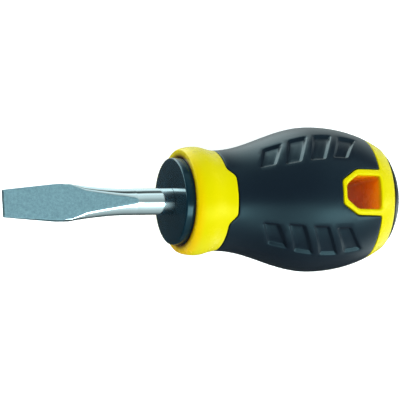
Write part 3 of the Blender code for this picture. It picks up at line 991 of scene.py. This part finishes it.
VIEW_TILT = radians(22.0)
VIEW_WIDTH = 97.704 * MM
TOOL_ROLL = radians(6.0)
PICTURE_ROLL = radians(0.75)
CAMERA_DISTANCE = 4.0
AIM_AT = Vector((NOSE + 7.75 * MM, 0.0, 0.0))
AIM_ABOVE_AXIS = 0.23 * MM

across_tool = Vector((0.0, -sin(TOOL_ROLL), cos(TOOL_ROLL)))
up_tool = Vector((0.0, cos(TOOL_ROLL), sin(TOOL_ROLL)))
to_camera = across_tool * cos(VIEW_TILT) - ALONG_TOOL * sin(VIEW_TILT)
level_right = ALONG_TOOL * cos(VIEW_TILT) + across_tool * sin(VIEW_TILT)
picture_right = level_right * cos(PICTURE_ROLL) - up_tool * sin(PICTURE_ROLL)
picture_up = up_tool * cos(PICTURE_ROLL) + level_right * sin(PICTURE_ROLL)


def add_camera():
    """A distant camera over the upper face, tilted a little towards the tip."""
    camera = bpy.data.objects.new("camera", bpy.data.cameras.new("camera"))
    bpy.context.scene.collection.objects.link(camera)
    place = Matrix((picture_right, picture_up, to_camera)).transposed().to_4x4()
    place.translation = AIM_AT + up_tool * AIM_ABOVE_AXIS + to_camera * CAMERA_DISTANCE
    camera.matrix_world = place
    camera.data.sensor_width = 36.0
    camera.data.lens = camera.data.sensor_width * CAMERA_DISTANCE / VIEW_WIDTH
    camera.data.clip_end = 20.0
    bpy.context.scene.camera = camera


def add_key_light():
    """A soft panel on the camera's side, above the tool, that doesn't show in reflections."""
    out = across_tool * cos(KEY_TURN) + up_tool * sin(KEY_TURN)
    back = out * cos(KEY_LEAN) + ALONG_TOOL * sin(KEY_LEAN)
    light = bpy.data.lights.new("key", "AREA")
    light.shape = "RECTANGLE"
    light.size, light.size_y = KEY_SIZE
    light.energy = KEY_POWER
    light.color = COOL_WHITE
    item = bpy.data.objects.new("key", light)
    bpy.context.scene.collection.objects.link(item)
    item.visible_glossy = False
    aside = (ALONG_TOOL - back * back.x).normalized()
    place = Matrix((aside, back.cross(aside), back)).transposed().to_4x4()
    place.translation = KEY_AIM + back * KEY_DISTANCE
    item.matrix_world = place


def add_floor():
    """A pale floor just under the handle's belly."""
    mesh = bpy.data.meshes.new("floor")
    shape = bmesh.new()
    bmesh.ops.create_grid(shape, x_segments=1, y_segments=1, size=FLOOR_HALF_WIDTH)
    shape.to_mesh(mesh)
    shape.free()
    floor = bpy.data.objects.new("floor", mesh)
    bpy.context.scene.collection.objects.link(floor)
    floor.location.z = -BELLY_RADIUS - FLOOR_GAP
    floor.visible_glossy = False
    material, _, shader = new_material("pale_floor", (0.9, 0.9, 0.9), 0.8, specular=0.0)
    shader.inputs["Emission Color"].default_value = (1.0, 1.0, 1.0, 1.0)
    shader.inputs["Emission Strength"].default_value = 0.5
    mesh.materials.append(material)


def add_studio():
    """Surrounds the tool with strips of light that run along it, others before it than behind it."""
    world = bpy.data.worlds.new("studio")
    bpy.context.scene.world = world
    world.use_nodes = True
    tree = world.node_tree
    direction = tree.nodes.new("ShaderNodeTexCoord")

    def share_along(axis):
        """How far a ray's direction points along an axis, from -1 to 1."""
        share = tree.nodes.new("ShaderNodeVectorMath")
        share.operation = "DOT_PRODUCT"
        share.inputs[1].default_value = axis
        tree.links.new(direction.outputs["Generated"], share.inputs[0])
        return share.outputs["Value"]

    turn = tree.nodes.new("ShaderNodeMath")
    turn.operation = "ARCTAN2"
    tree.links.new(share_along(up_tool), turn.inputs[0])
    tree.links.new(share_along(across_tool), turn.inputs[1])
    place = ramp(tree, turn.outputs["Value"], 0.0, 1.0, -pi, pi)

    def light_round_tool(levels):
        """Light by the angle round the tool, from (degrees, brightness) pairs."""
        stops = []
        for angle, level in levels:
            colour = [channel * level / BRIGHTEST for channel in COOL_WHITE]
            stops.append(((angle + 180) / 360, colour))
        return colour_ramp(tree, place, stops)

    rearwards = share_along(ALONG_TOOL)
    room = light_round_tool(BEFORE_TOOL)
    for levels, start, end in FURTHER_BACK:
        share = ramp(tree, rearwards, 0.0, 1.0, start, end)
        room = mix(tree, share, room, light_round_tool(levels))
    background = tree.nodes["Background"]
    tree.links.new(room, background.inputs["Color"])
    background.inputs["Strength"].default_value = BRIGHTEST


add_camera()
yellow = yellow_material()
build_blade(polished_steel(), blasted_steel())
build_core(gloss_black_material())
build_front_collar(yellow)
build_soft_grip(soft_grip_material())
build_rear_frame(yellow)
build_end_cap(cap_material())
add_floor()
add_studio()
add_key_light()
bpy.context.scene.view_settings.view_transform = "Standard"
